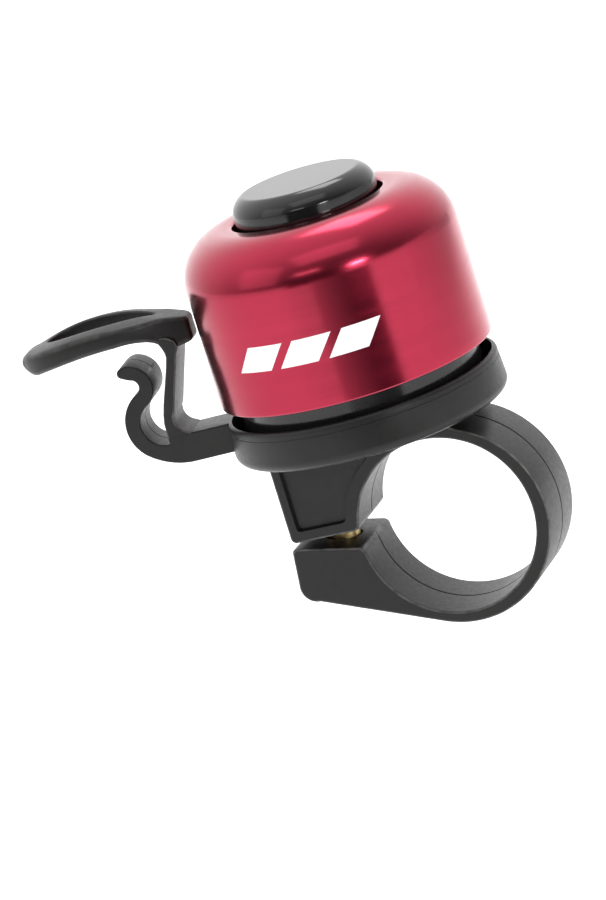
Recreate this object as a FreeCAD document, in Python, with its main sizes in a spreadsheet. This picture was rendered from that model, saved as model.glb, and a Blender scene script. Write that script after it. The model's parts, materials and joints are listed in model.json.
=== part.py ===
"""Bicycle bell with a thumb-flicked striker and a clamp for a 22.2 mm handlebar.

Frame: origin at the centre of the clamp's bore, +Y along the handlebar, +Z up the bell's axis
towards the dome, and the thumb lever on the -X side.  The bell's axis stands at x = -bell_offset.
The head (dome, cup and lever ring) can turn on the clamp about that axis, and stands turned by
head_turn degrees.  Head pieces are drawn in the head's own frame, with the bell's axis at x = 0.
"""
import FreeCAD, Part
import math
import os

import Sketcher

Vector = FreeCAD.Vector

# Driving dimensions in millimetres (angles in degrees): name, value, meaning
DIMENSIONS = [
    ("bell_offset", 7.18, "bell axis from the handlebar axis, along -X"),
    ("head_turn", 5.4, "turn of the head on the clamp about the bell axis"),
    # dome
    ("rim_radius", 17.15, "dome, outside, at the rim"),
    ("rim_height", 20.44, "rim above the bore's centre"),
    ("wall_radius", 17.05, "dome, outside, below the shoulder"),
    ("shoulder_start", 35.3, "height where the wall ends"),
    ("shoulder_radius", 6.1, "rounding between the wall and the top"),
    ("dome_top", 41.4, "highest point of the dome"),
    ("crown_radius", 10.95, "radius where the shoulder meets the top"),
    ("dome_wall", 1.5, "thickness of the dome's wall"),
    ("well_radius", 9.48, "sunk centre of the dome, inside"),
    ("well_wall", 1.2, "thickness of the sunk centre"),
    ("well_floor", 38.7, "height of the sunk centre's floor"),
    ("dome_bore", 3.0, "centre hole of the dome"),
    # cap
    ("cap_radius", 8.95, "cap, at its widest"),
    ("cap_flat_radius", 7.34, "flat disc on the cap"),
    ("cap_top", 44.66, "height of the flat disc"),
    ("cap_widest", 42.7, "height where the cap is widest"),
    ("cap_bevel_radius", 2.6, "rounding from the flat to the side"),
    ("cap_inner_radius", 7.3, "hollow under the cap"),
    ("cap_roof", 1.3, "thickness of the cap's top"),
    ("cap_gap", 0.1, "cap above the well's floor"),
    # fixing of the dome
    ("bush_flange_radius", 4.4, "flange of the isolating bush"),
    ("bush_flange", 0.6, "thickness of that flange"),
    ("bush_bore", 2.2, "bore of the bush"),
    ("washer_radius", 6.0, "washer in the dome's well"),
    ("washer_thick", 1.0, "its thickness"),
    ("cap_grip", 0.05, "clearance between washer and cap ring"),
    ("cap_ring_wall", 0.9, "ring under the cap that grips the washer"),
    ("screw_radius", 2.0, "M4 screw"),
    ("head_radius", 3.5, "head of an M4 screw"),
    ("head_tall", 2.6, "height of that head"),
    ("seat_gap", 0.04, "under a screw head"),
    ("slot_wide", 1.0, "slot in a screw head"),
    ("slot_deep", 1.2, "depth of that slot"),
    ("nut_flats", 7.0, "M4 nut across flats"),
    ("nut_thick", 3.2, "M4 nut"),
    ("nut_gap", 0.1, "pocket round a nut"),
    ("thread_gap", 0.03, "between screw and nut"),
    # cup
    ("cup_radius", 15.1, "cup that closes the dome's mouth, outside"),
    ("cup_wall", 1.3, "its wall"),
    ("cup_base", 14.6, "underside of the cup's floor"),
    ("cup_floor", 1.5, "thickness of the floor"),
    ("cup_rim", 22.6, "top of the cup's wall"),
    ("hub_radius", 4.4, "column that carries the dome"),
    ("boss_radius", 5.9, "boss on the clamp, which the head turns on"),
    ("boss_top", 14.5, "top of the boss"),
    ("boss_gap", 0.05, "boss in the lever ring"),
    # lever ring
    ("ring_base", 13.1, "underside of the lever ring"),
    ("ring_low_radius", 17.28, "lever ring, outside, low down"),
    ("ring_high_radius", 17.05, "lever ring, outside, high up"),
    ("ring_base_radius", 16.0, "edge of the flat underside"),
    ("ring_low", 14.4, "height where the underside's rounding ends"),
    ("ring_high", 17.75, "height where the top edge's rounding starts"),
    ("ring_top", 18.3, "top of the lever ring"),
    ("ring_lip_radius", 16.5, "inside of the lever ring"),
    ("ring_round", 1.3, "rounding of the underside"),
    ("ring_lip_round", 0.56, "rounding of the top edge"),
    # bracket: arm and hook-shaped stop, moulded with the lever ring
    ("lever_width", 5.72, "width of arm, stop and leaf"),
    ("arm_base", 14.3, "underside of the arm"),
    ("arm_top", 17.95, "top of the arm"),
    ("arm_root", 16.8, "where the arm starts, inside the ring's wall"),
    ("leaf_front", 22.0, "end of the fillet at the leaf's foot, facing the dome"),
    ("leaf_back", 24.75, "leaf root, side facing the stop"),
    ("bowl_end_x", 25.15, "low end of the bowl's inner face"),
    ("bowl_end_z", 17.15, "its height"),
    ("bowl_inner", 2.85, "radius of the bowl's inner face"),
    ("bowl_outer", 4.8, "radius of the bowl's outer face"),
    ("bend_x", 26.07, "inner face, where bowl turns into curl"),
    ("bend_z", 22.5, "its height"),
    ("curl_outer", 2.93, "radius of the curl's outer face"),
    ("curl_top_x", 27.6, "top of the curl"),
    ("curl_top_z", 27.98, "its height"),
    ("curl_tip_x", 28.2, "blunt end of the curl, above"),
    ("curl_tip_z", 27.7, "its height"),
    ("curl_tip_round", 0.62, "rounding of that end"),
    ("curl_lip_x", 28.15, "blunt end of the curl, below"),
    ("curl_lip_z", 26.55, "its height"),
    ("curl_bay_x", 27.3, "start of the curl's inner face"),
    ("curl_bay_z", 26.1, "its height"),
    ("curl_inner", 0.97, "radius of the curl's inner face"),
    ("curve_x", 27.0, "outer face, where curl turns into bowl"),
    ("curve_z", 24.21, "its height"),
    ("keel_x", 27.9, "outer face, where the bowl meets the keel"),
    ("keel_z", 16.35, "its height"),
    ("keel_radius", 9.0, "rounding of the keel"),
    ("keel_end", 22.0, "where the keel meets the arm"),
    # leaf
    ("leaf_foot_x", 23.35, "front of the leaf, above that fillet"),
    ("leaf_foot_z", 19.5, "its height"),
    ("leaf_fillet", 1.6, "fillet at the leaf's foot"),
    ("leaf_knee_z", 22.0, "height where the leaf starts to lean"),
    ("leaf_knee_back", 24.1, "back of the leaf there"),
    ("leaf_knee_front", 22.65, "front of the leaf there"),
    ("leaf_head_z", 28.6, "top of the leaf"),
    ("leaf_head_back", 21.55, "back of the leaf at the top"),
    ("leaf_head_front", 20.05, "front of the leaf at the top"),
    # thumb lever: finger loop and striker
    ("striker_end", 18.24, "face of the striker"),
    ("striker_half", 1.35, "half the striker's width at its face"),
    ("striker_top", 32.15, "top of the striker at its face"),
    ("striker_low", 28.75, "underside of the striker"),
    ("striker_break", 0.55, "broken corners of the striker"),
    ("neck_back_x", 22.6, "end of the fillet behind the leaf"),
    ("neck_back_z", 29.9, "its height"),
    ("loop_low_x", 27.2, "highest point of the loop's underside"),
    ("loop_low_z", 30.85, "its height"),
    ("loop_toe_x", 37.8, "underside near the tip"),
    ("loop_toe_z", 29.62, "its height"),
    ("loop_under_radius", 34.0, "arch of the loop's underside"),
    ("neck_under_radius", 9.0, "arch of the underside near the leaf"),
    ("loop_tip", 40.3, "tip of the loop"),
    ("loop_tip_low", 30.55, "tip of the loop, low corner"),
    ("loop_tip_high", 31.35, "tip of the loop, high corner"),
    ("loop_tip_round", 2.4, "rounding of the tip's corners"),
    ("loop_heel_x", 38.6, "top near the tip"),
    ("loop_heel_z", 32.3, "its height"),
    ("loop_top_radius", 39.0, "arch of the loop's top"),
    ("loop_half", 5.8, "half the loop's width"),
    ("loop_wide_x", 32.0, "where the loop is widest"),
    ("loop_nose_x", 39.5, "start of the loop's blunt tip"),
    ("loop_nose_half", 2.1, "half the width there"),
    ("loop_nose_radius", 3.0, "rounding of the blunt tip"),
    ("loop_side_radius", 8.6, "rounding from the tip to the widest point"),
    ("loop_waist_x", 22.4, "where loop turns into striker"),
    ("loop_waist_half", 2.95, "half the width there"),
    ("loop_back_radius", 17.0, "rounding from the widest point to the waist"),
    ("eye_wide_x", 31.6, "where the finger hole is widest"),
    ("eye_half", 3.25, "half the hole's width"),
    ("eye_tip", 36.5, "tip end of the hole"),
    ("eye_root", 22.3, "striker end of the hole"),
    ("eye_tip_radius", 5.4, "rounding of the hole towards the tip"),
    ("eye_root_radius", 15.0, "rounding of the hole towards the striker"),
    # clamp
    ("bore_radius", 11.1, "22.2 mm handlebar"),
    ("band_width", 11.5, "clamp, along the handlebar"),
    ("band_radius", 12.43, "outside of the band"),
    ("band_shift", 0.48, "centre of the band's outside, along X"),
    ("band_drop", 0.17, "centre of the band's outside, below the bore's"),
    ("post_reach", 19.93, "outer side of the post"),
    ("post_base", 1.65, "underside of the post"),
    ("post_bore_x", 10.977, "post's bore edge at its underside"),
    ("post_corner", 0.7, "rounded lower corner of the post"),
    ("post_top", 13.05, "top of the clamp, under the lever ring"),
    ("seat_end", 2.4, "end of the flat top, along +X"),
    ("band_join_x", 4.6, "where the flat top runs into the band"),
    ("band_join_z", 11.558, "its height"),
    ("panel_left", 18.45, "sunk panel in the post"),
    ("panel_low", 3.4, "lower edge of the panel"),
    ("panel_high", 12.0, "upper edge of the panel"),
    ("panel_corner_x", 13.0, "panel's corner by the bore"),
    ("panel_arc_radius", 13.1, "panel's edge along the bore"),
    ("panel_corner_z", 3.4, "height of that corner"),
    ("panel_top_x", 5.27, "panel's edge at the top"),
    ("panel_deep", 0.7, "depth of the panel"),
    # jaw
    ("jaw_left", 20.2, "outer side of the jaw, at its top"),
    ("jaw_left_low", 20.72, "outer side of the jaw, lower down"),
    ("jaw_left_z", 3.9, "where that side ends, below the bore's centre"),
    ("jaw_high", 1.05, "top of the jaw at its outer side"),
    ("jaw_inner_x", 11.085, "jaw's bore edge at its top"),
    ("jaw_inner_z", 0.58, "its depth below the bore's centre"),
    ("jaw_round", 2.1, "rounded lower corner"),
    ("jaw_toe_x", 18.6, "end of that corner"),
    ("jaw_toe_z", 6.22, "its depth below the bore's centre"),
    ("jaw_tangent_x", 3.933, "where the underside meets the band"),
    ("jaw_tangent_z", 11.791, "its depth below the bore's centre"),
    ("band_inner_end", 11.099, "bore's edge at the flexing line"),
    # clamp screw
    ("clamp_screw_x", 15.1, "clamp screw's axis"),
    ("clamp_seat", 4.2, "washer seat below the bore's centre"),
    ("clamp_hole_radius", 2.25, "screw hole in the jaw"),
    ("clamp_hole_shift", 0.35, "length of the hole beyond round"),
    ("clamp_pocket_radius", 4.3, "counterbore in the jaw"),
    ("clamp_pocket_deep", 8.0, "depth of the tool that cuts the counterbore"),
    ("clamp_washer_radius", 4.0, "washer under the clamp screw's head"),
    ("clamp_washer_thick", 0.5, "its thickness"),
    ("washer_rest", 0.06, "washer under its seat"),
    ("clamp_screw_end", 10.4, "end of the clamp screw"),
    ("clamp_hole_end", 10.9, "end of its hole in the post"),
    ("clamp_nut_z", 5.2, "underside of the clamp nut"),
    ("dome_nut_z", 11.05, "underside of the nut for the dome screw"),
    ("hole_clear", 0.08, "hole round a screw shank"),
    ("nut_pocket_top", 0.4, "top of the nut pocket above the nut"),
]
SIZE = {name: value for name, value, meaning in DIMENSIONS}

doc = FreeCAD.newDocument("bicycle_bell")
sheet = doc.addObject("Spreadsheet::Sheet", "dimensions")
for row, (name, value, meaning) in enumerate(DIMENSIONS, start=1):
    sheet.set(f"A{row}", meaning)
    sheet.set(f"B{row}", str(value))
    sheet.setAlias(f"B{row}", name)
doc.recompute()


# ---------------------------------------------------------------- sums of dimensions
def amount(text):
    """Value of a sum such as 'rim_radius - dome_wall' or '- 0.5*band_width'."""
    total = 0.0
    sign = 1
    for word in text.split():
        if word in ("+", "-"):
            sign = 1 if word == "+" else -1
            continue
        product = 1.0
        for factor in word.split("*"):
            product *= SIZE[factor] if factor in SIZE else float(factor)
        total += sign * product
    return total


def formula(text):
    """The same sum as an expression on the spreadsheet."""
    words = []
    for word in text.split():
        factors = [f"dimensions.{f}" if f in SIZE else f for f in word.split("*")]
        words.append("*".join(factors))
    return " ".join(words)


def bind(item, **sums):
    """Bind properties such as Radius or Height to sums of dimensions."""
    for prop, text in sums.items():
        item.setExpression(prop, formula(text))


def place(item, x="0", y="0", z="0", turn=None):
    """Bind the item's place to the sheet; turn is a rotation about Z in degrees."""
    for axis, text in (("x", x), ("y", y), ("z", z)):
        item.setExpression(f"Placement.Base.{axis}", formula(text))
    if turn is not None:
        item.setExpression("Placement.Rotation.Angle", formula(turn))
    return item


def on_head(item):
    """Put a head piece on the bell's axis, turned with the head."""
    item.Placement = FreeCAD.Placement(Vector(), FreeCAD.Rotation(Vector(0, 0, 1), SIZE["head_turn"]))
    return place(item, x="- bell_offset", turn="head_turn")


# ---------------------------------------------------------------- sketches
def fix_point(sketch, geo, end, corner):
    """Hold one end of an edge at a corner given as two sums."""
    for kind, axis, text in (("DistanceX", -2, corner[0]), ("DistanceY", -1, corner[1])):
        if text == "0":
            sketch.addConstraint(Sketcher.Constraint("PointOnObject", geo, end, axis))
            continue
        index = sketch.addConstraint(Sketcher.Constraint(kind, -1, 1, geo, end, amount(text)))
        sketch.setExpression(f"Constraints[{index}]", formula(text))


def arc_between(start, end, radius, turn):
    """Minor arc from start to end; its centre is on the left for turn 1, on the right for -1."""
    chord = end - start
    half = chord.Length / 2
    left = Vector(-chord.y, chord.x, 0).normalize()
    centre = (start + end) / 2 + left * turn * math.sqrt(radius ** 2 - half ** 2)
    first, last = (start, end) if turn == 1 else (end, start)
    angles = [math.atan2(p.y - centre.y, p.x - centre.x) for p in (first, last)]
    return Part.ArcOfCircle(Part.Circle(centre, Vector(0, 0, 1), radius), *angles)


def outline(sketch, path):
    """Closed outline.  Each entry is (x, y), then optionally (radius, turn) of the arc to the next."""
    corners = [Vector(amount(entry[0]), amount(entry[1]), 0) for entry in path]
    ends = []
    for index, entry in enumerate(path):
        start, end = corners[index], corners[(index + 1) % len(path)]
        if len(entry) == 2:
            geo = sketch.addGeometry(Part.LineSegment(start, end))
            ends.append((geo, 1, 2))
            continue
        radius, turn = entry[2], entry[3]
        geo = sketch.addGeometry(arc_between(start, end, amount(radius), turn))
        dimension = sketch.addConstraint(Sketcher.Constraint("Radius", geo, amount(radius)))
        sketch.setExpression(f"Constraints[{dimension}]", formula(radius))
        ends.append((geo, 1, 2) if turn == 1 else (geo, 2, 1))
    for index, entry in enumerate(path):
        geo, first, last = ends[index]
        before, before_first, before_last = ends[index - 1]
        sketch.addConstraint(Sketcher.Constraint("Coincident", before, before_last, geo, first))
        fix_point(sketch, geo, first, entry)
    return sketch


def circle(sketch, x, y, radius):
    """Full circle at a centre given as two sums."""
    centre = Vector(amount(x), amount(y), 0)
    geo = sketch.addGeometry(Part.Circle(centre, Vector(0, 0, 1), amount(radius)))
    dimension = sketch.addConstraint(Sketcher.Constraint("Radius", geo, amount(radius)))
    sketch.setExpression(f"Constraints[{dimension}]", formula(radius))
    fix_point(sketch, geo, 3, (x, y))
    return sketch


def new_body(name):
    body = doc.addObject("PartDesign::Body", name)
    body.Label = name
    return body


def new_sketch(body, name, plane):
    """Sketch on one of the body's own origin planes."""
    sketch = body.newObject("Sketcher::SketchObject", name)
    support = [f for f in body.Origin.OriginFeatures if f.Role == plane][0]
    sketch.AttachmentSupport = (support, "")
    sketch.MapMode = "FlatFace"
    return sketch


def lift(sketch, text):
    """Move a sketch along its own normal by a sum."""
    sketch.setExpression("AttachmentOffset.Base.z", formula(text))
    return sketch


def revolve(body, path):
    """Full turn of an outline in the XZ plane about the body's Z axis."""
    sketch = outline(new_sketch(body, body.Name + "_section", "XZ_Plane"), path)
    turned = body.newObject("PartDesign::Revolution", body.Name + "_turned")
    turned.Profile = sketch
    turned.ReferenceAxis = (sketch, ["V_Axis"])
    turned.Angle = 360
    return turned


def pad_both_ways(body, name, path, width):
    """Pad an outline in the XZ plane symmetrically about that plane."""
    sketch = outline(new_sketch(body, name + "_outline", "XZ_Plane"), path)
    pad = body.newObject("PartDesign::Pad", name)
    pad.Profile = sketch
    pad.SideType = "Symmetric"
    bind(pad, Length=width)
    return pad


def pocket(body, name, sketch, depth, reverse=False, both=False):
    """Cut a sketch into the body."""
    cut = body.newObject("PartDesign::Pocket", name)
    cut.Profile = sketch
    cut.Reversed = reverse
    if both:
        cut.SideType = "Symmetric"
    bind(cut, Length=depth)
    return cut


# ---------------------------------------------------------------- simple round pieces
def cylinder(name, radius, height, x="0", z="0", y="0"):
    item = doc.addObject("Part::Cylinder", name)
    bind(item, Radius=radius, Height=height)
    return place(item, x=x, y=y, z=z)


def join(kind, name, base, tool):
    """Boolean of two objects: kind is Part::Cut, Part::Fuse or Part::Common."""
    item = doc.addObject(kind, name)
    item.Base = base
    item.Tool = tool
    item.Label = name
    return item


def hexagon(name, height, x="0", z="0", gap="0"):
    """Hexagonal prism with two flats facing along X, for a nut or its pocket."""
    item = doc.addObject("Part::Prism", name)
    item.Polygon = 6
    item.Placement = FreeCAD.Placement(Vector(), FreeCAD.Rotation(Vector(0, 0, 1), 30))
    across = 1 / math.sqrt(3)
    item.setExpression("Circumradius", f"(dimensions.nut_flats + 2 * {formula(gap)}) * {across}")
    bind(item, Height=height)
    return place(item, x=x, z=z)


def washer(name, radius, bore, thick, z, x="0"):
    disc = cylinder(name + "_disc", radius, thick, x=x, z=z)
    hole = cylinder(name + "_hole", bore, thick + " + 2", x=x, z=z + " - 1")
    return join("Part::Cut", name, disc, hole)


def screw(name, x, low, high, head_low, slot_on_top):
    """Slotted M4 screw: a shank from low to high and a head that starts at head_low."""
    shank = cylinder(name + "_shank", "screw_radius", high + " - " + low, x=x, z=low)
    head = cylinder(name + "_head", "head_radius", "head_tall", x=x, z=head_low)
    blank = join("Part::Fuse", name + "_blank", shank, head)
    slot = doc.addObject("Part::Box", name + "_slot")
    bind(slot, Length="2*head_radius + 1", Width="slot_wide", Height="slot_deep + 1")
    floor = " + head_tall - slot_deep" if slot_on_top else " - 1"
    place(slot, x=x + " - head_radius - 0.5", y="- 0.5*slot_wide", z=head_low + floor)
    return join("Part::Cut", name, blank, slot)


def nut(name, x, z):
    prism = hexagon(name + "_prism", "nut_thick", x=x, z=z)
    thread = cylinder(name + "_thread", "screw_radius + thread_gap", "nut_thick + 2", x=x, z=z + " - 1")
    return join("Part::Cut", name, prism, thread)


# ---------------------------------------------------------------- head
def make_dome():
    body = new_body("dome")
    well_outer = "well_radius + well_wall"
    floor_low = "well_floor - well_wall"
    revolve(body, [
        ("rim_radius", "rim_height"),
        ("wall_radius", "shoulder_start", "shoulder_radius", 1),
        ("crown_radius", "dome_top"),
        ("well_radius", "dome_top"),
        ("well_radius", "well_floor"),
        ("dome_bore", "well_floor"),
        ("dome_bore", floor_low),
        (well_outer, floor_low),
        (well_outer, "dome_top - dome_wall"),
        ("crown_radius", "dome_top - dome_wall", "shoulder_radius - dome_wall", -1),
        ("wall_radius - dome_wall", "shoulder_start"),
        ("rim_radius - dome_wall", "rim_height"),
    ])
    return on_head(body)


def make_top_cap():
    body = new_body("top_cap")
    grip = "washer_radius + cap_grip"
    low = "well_floor + cap_gap"
    hollow = "cap_top - cap_roof"
    revolve(body, [
        ("0", hollow),
        (grip, hollow),
        (grip, low),
        (grip + " + cap_ring_wall", low),
        (grip + " + cap_ring_wall", hollow),
        ("cap_inner_radius", hollow),
        ("cap_inner_radius", low),
        ("cap_radius - 0.1", low),
        ("cap_radius", "cap_widest", "cap_bevel_radius", 1),
        ("cap_flat_radius", "cap_top"),
        ("0", "cap_top"),
    ])
    return on_head(body)


def make_dome_bush():
    body = new_body("dome_bush")
    flange_top = "well_floor - well_wall"
    revolve(body, [
        ("bush_bore", flange_top + " - bush_flange"),
        ("bush_flange_radius", flange_top + " - bush_flange"),
        ("bush_flange_radius", flange_top),
        ("dome_bore", flange_top),
        ("dome_bore", "well_floor"),
        ("bush_bore", "well_floor"),
    ])
    return on_head(body)


def make_base_cup():
    body = new_body("base_cup")
    floor_top = "cup_base + cup_floor"
    revolve(body, [
        ("screw_radius + hole_clear", "cup_base"),
        ("cup_radius", "cup_base"),
        ("cup_radius", "cup_rim"),
        ("cup_radius - cup_wall", "cup_rim"),
        ("cup_radius - cup_wall", floor_top),
        ("hub_radius", floor_top),
        ("hub_radius", "well_floor - well_wall - bush_flange"),
        ("screw_radius + hole_clear", "well_floor - well_wall - bush_flange"),
    ])
    return on_head(body)


def make_lever_ring():
    """Skirt under the dome, with the arm and the hook-shaped stop moulded on."""
    body = new_body("lever_ring")
    revolve(body, [
        ("boss_radius + boss_gap", "ring_base"),
        ("ring_base_radius", "ring_base", "ring_round", 1),
        ("ring_low_radius", "ring_low"),
        ("ring_high_radius", "ring_high", "ring_lip_round", 1),
        ("ring_lip_radius", "ring_top"),
        ("ring_lip_radius - 0.1", "cup_base"),
        ("boss_radius + boss_gap", "cup_base"),
    ])
    pad_both_ways(body, "bracket", [
        ("- arm_root", "arm_base"),
        ("- arm_root", "arm_top"),
        ("- leaf_front", "arm_top"),
        ("- leaf_back", "arm_top"),
        ("- leaf_back", "bowl_end_z"),
        ("- bowl_end_x", "bowl_end_z", "bowl_inner", -1),
        ("- bend_x", "bend_z", "curl_outer", 1),
        ("- curl_top_x", "curl_top_z"),
        ("- curl_tip_x", "curl_tip_z", "curl_tip_round", 1),
        ("- curl_lip_x", "curl_lip_z"),
        ("- curl_bay_x", "curl_bay_z", "curl_inner", -1),
        ("- curve_x", "curve_z", "bowl_outer", 1),
        ("- keel_x", "keel_z", "keel_radius", 1),
        ("- keel_end", "arm_base"),
    ], "lever_width")
    return on_head(body)


def make_lever_leaf():
    """Thin springy leaf between the arm and the thumb lever."""
    body = new_body("lever_leaf")
    pad_both_ways(body, "leaf", [
        ("- leaf_front", "arm_top", "leaf_fillet", -1),
        ("- leaf_foot_x", "leaf_foot_z"),
        ("- leaf_knee_front", "leaf_knee_z"),
        ("- leaf_head_front", "leaf_head_z"),
        ("- leaf_head_back", "leaf_head_z"),
        ("- leaf_knee_back", "leaf_knee_z"),
        ("- leaf_back", "arm_top + 1"),
        ("- leaf_back", "arm_top"),
    ], "lever_width")
    return on_head(body)


def loose_sketch(name, rotation=None):
    sketch = doc.addObject("Sketcher::SketchObject", name)
    if rotation:
        sketch.Placement = FreeCAD.Placement(Vector(), rotation)
    return sketch


def extrude(name, sketch, length, direction, both):
    """Solid from a free sketch, one way from its plane or half to each side."""
    item = doc.addObject("Part::Extrusion", name)
    item.Base = sketch
    item.DirMode = "Custom"
    item.Dir = direction
    item.Solid = True
    item.Symmetric = both
    bind(item, LengthFwd=length)
    return item


def make_thumb_lever():
    """Arched finger loop that tapers into the striker: a side view and a plan view in common."""
    upright = FreeCAD.Rotation(Vector(1, 0, 0), 90)
    side = outline(loose_sketch("thumb_side", upright), [
        ("- striker_end", "striker_low + striker_break"),
        ("- striker_end", "striker_top - striker_break"),
        ("- striker_end - striker_break", "striker_top", "loop_top_radius", 1),
        ("- loop_heel_x", "loop_heel_z", "loop_tip_round", 1),
        ("- loop_tip", "loop_tip_high"),
        ("- loop_tip", "loop_tip_low", "loop_tip_round", 1),
        ("- loop_toe_x", "loop_toe_z", "loop_under_radius", -1),
        ("- loop_low_x", "loop_low_z", "neck_under_radius", -1),
        ("- neck_back_x", "neck_back_z"),
        ("- leaf_head_back", "leaf_head_z"),
        ("- leaf_head_front", "leaf_head_z"),
        ("- striker_end - striker_break", "striker_low"),
    ])
    plan = outline(loose_sketch("thumb_plan"), [
        ("- striker_end", "- striker_half"),
        ("- striker_end", "striker_half"),
        ("- loop_waist_x", "loop_waist_half", "loop_back_radius", 1),
        ("- loop_wide_x", "loop_half", "loop_side_radius", 1),
        ("- loop_nose_x", "loop_nose_half", "loop_nose_radius", 1),
        ("- loop_nose_x", "- loop_nose_half", "loop_side_radius", 1),
        ("- loop_wide_x", "- loop_half", "loop_back_radius", 1),
        ("- loop_waist_x", "- loop_waist_half"),
    ])
    eye = outline(loose_sketch("thumb_eye"), [
        ("- eye_root", "0", "eye_root_radius", 1),
        ("- eye_wide_x", "eye_half", "eye_tip_radius", 1),
        ("- eye_tip", "0", "eye_tip_radius", 1),
        ("- eye_wide_x", "- eye_half", "eye_root_radius", 1),
    ])
    tall = "dome_top"
    blank = join(
        "Part::Common", "thumb_blank",
        extrude("thumb_side_solid", side, "4*loop_half", Vector(0, 1, 0), True),
        extrude("thumb_plan_solid", plan, tall, Vector(0, 0, 1), False))
    hole = extrude("thumb_eye_solid", eye, tall, Vector(0, 0, 1), False)
    return on_head(join("Part::Cut", "thumb_lever", blank, hole))


# ---------------------------------------------------------------- clamp
def make_clamp_post():
    """Post beside the handlebar, the seat under the head, and the upper half of the band."""
    body = new_body("clamp_post")
    pad_both_ways(body, "post", [
        ("- post_bore_x", "post_base", "bore_radius", -1),
        ("band_inner_end", "- band_drop"),
        ("band_shift + band_radius", "- band_drop", "band_radius", 1),
        ("band_join_x", "band_join_z"),
        ("seat_end", "post_top"),
        ("- post_reach", "post_top"),
        ("- post_reach", "post_base + post_corner", "post_corner", 1),
        ("- post_reach + post_corner", "post_base"),
    ], "band_width")
    panel = [
        ("- panel_left", "panel_low"),
        ("- panel_corner_x", "panel_corner_z", "panel_arc_radius", -1),
        ("- panel_top_x", "panel_high"),
        ("- panel_left", "panel_high"),
    ]
    sketch = outline(new_sketch(body, "panel_outline", "XZ_Plane"), panel)
    lift(sketch, "0.5*band_width")
    pocket(body, "panel", sketch, "panel_deep")
    screw_hole = circle(new_sketch(body, "clamp_hole", "XY_Plane"),
                        "- clamp_screw_x", "0", "screw_radius + hole_clear")
    pocket(body, "clamp_screw_hole", screw_hole, "clamp_hole_end", reverse=True)
    boss = cylinder("turning_boss", "boss_radius", "boss_top - post_top + 1", x="- bell_offset", z="post_top - 1")
    boss_hole = cylinder("turning_boss_hole", "screw_radius + hole_clear", "boss_top", x="- bell_offset",
                         z="dome_nut_z")
    boss = join("Part::Cut", "turning_boss_bored", boss, boss_hole)
    blank = join("Part::Fuse", "clamp_with_boss", body, boss)
    side_pocket = doc.addObject("Part::Box", "clamp_nut_way")
    across = "nut_flats + 2*nut_gap"
    bind(side_pocket, Length=across, Width="band_width", Height="nut_thick + nut_pocket_top")
    place(side_pocket, x="- clamp_screw_x - 0.5*nut_flats - nut_gap", z="clamp_nut_z - 0.5*nut_pocket_top")
    end_pocket = hexagon("clamp_nut_end", "nut_thick + nut_pocket_top", x="- clamp_screw_x",
                         z="clamp_nut_z - 0.5*nut_pocket_top", gap="nut_gap")
    top_pocket = hexagon("dome_nut_pocket", "post_top", x="- bell_offset", z="dome_nut_z", gap="nut_gap")
    first = join("Part::Cut", "clamp_without_way", blank, side_pocket)
    second = join("Part::Cut", "clamp_without_end", first, end_pocket)
    post = join("Part::Cut", "clamp_post_solid", second, top_pocket)
    body.Label = "clamp_post_blank"
    post.Label = "clamp_post"
    return post


def make_clamp_jaw():
    """Lower half of the band and the block that the clamp screw draws up."""
    body = new_body("clamp_jaw")
    pad_both_ways(body, "jaw", [
        ("- jaw_inner_x", "- jaw_inner_z"),
        ("- jaw_left", "jaw_high"),
        ("- jaw_left_low", "- jaw_left_z", "jaw_round", 1),
        ("- jaw_toe_x", "- jaw_toe_z"),
        ("- jaw_tangent_x", "- jaw_tangent_z", "band_radius", 1),
        ("band_shift + band_radius", "- band_drop"),
        ("band_inner_end", "- band_drop", "bore_radius", -1),
    ], "band_width")
    tools = [
        ("jaw_hole", "clamp_hole_radius", "clamp_seat + 2*jaw_high", "- clamp_seat", "clamp_hole_shift"),
        ("jaw_pocket", "clamp_pocket_radius", "clamp_pocket_deep", "- clamp_seat - clamp_pocket_deep",
         "clamp_hole_shift"),
    ]
    shape = body
    for name, radius, tall, low, shift in tools:
        for side, extra in (("near", "0"), ("far", shift)):
            round_tool = cylinder(f"{name}_{side}", radius, tall, x=f"- clamp_screw_x - {extra}", z=low)
            shape = join("Part::Cut", f"{name}_{side}_cut", shape, round_tool)
    body.Label = "clamp_jaw_blank"
    shape.Label = "clamp_jaw"
    return shape


def make_parts():
    washer_low = "- clamp_seat - washer_rest - clamp_washer_thick"
    screw_seat = washer_low + " - seat_gap"
    dome_screw = screw("dome_screw", "- bell_offset", "dome_nut_z", "well_floor + washer_thick + seat_gap",
                       "well_floor + washer_thick + seat_gap", True)
    clamp_screw = screw("clamp_screw", "- clamp_screw_x", screw_seat, "clamp_screw_end",
                        screw_seat + " - head_tall", False)
    return [
        make_dome(),
        make_top_cap(),
        make_dome_bush(),
        on_head(washer("dome_washer", "washer_radius", "bush_bore", "washer_thick", "well_floor")),
        dome_screw,
        nut("dome_nut", "- bell_offset", "dome_nut_z"),
        make_base_cup(),
        make_lever_ring(),
        make_lever_leaf(),
        make_thumb_lever(),
        make_clamp_post(),
        make_clamp_jaw(),
        clamp_screw,
        washer("clamp_washer", "clamp_washer_radius", "clamp_hole_radius", "clamp_washer_thick",
               washer_low, x="- clamp_screw_x"),
        nut("clamp_nut", "- clamp_screw_x", "clamp_nut_z"),
    ]


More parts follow.
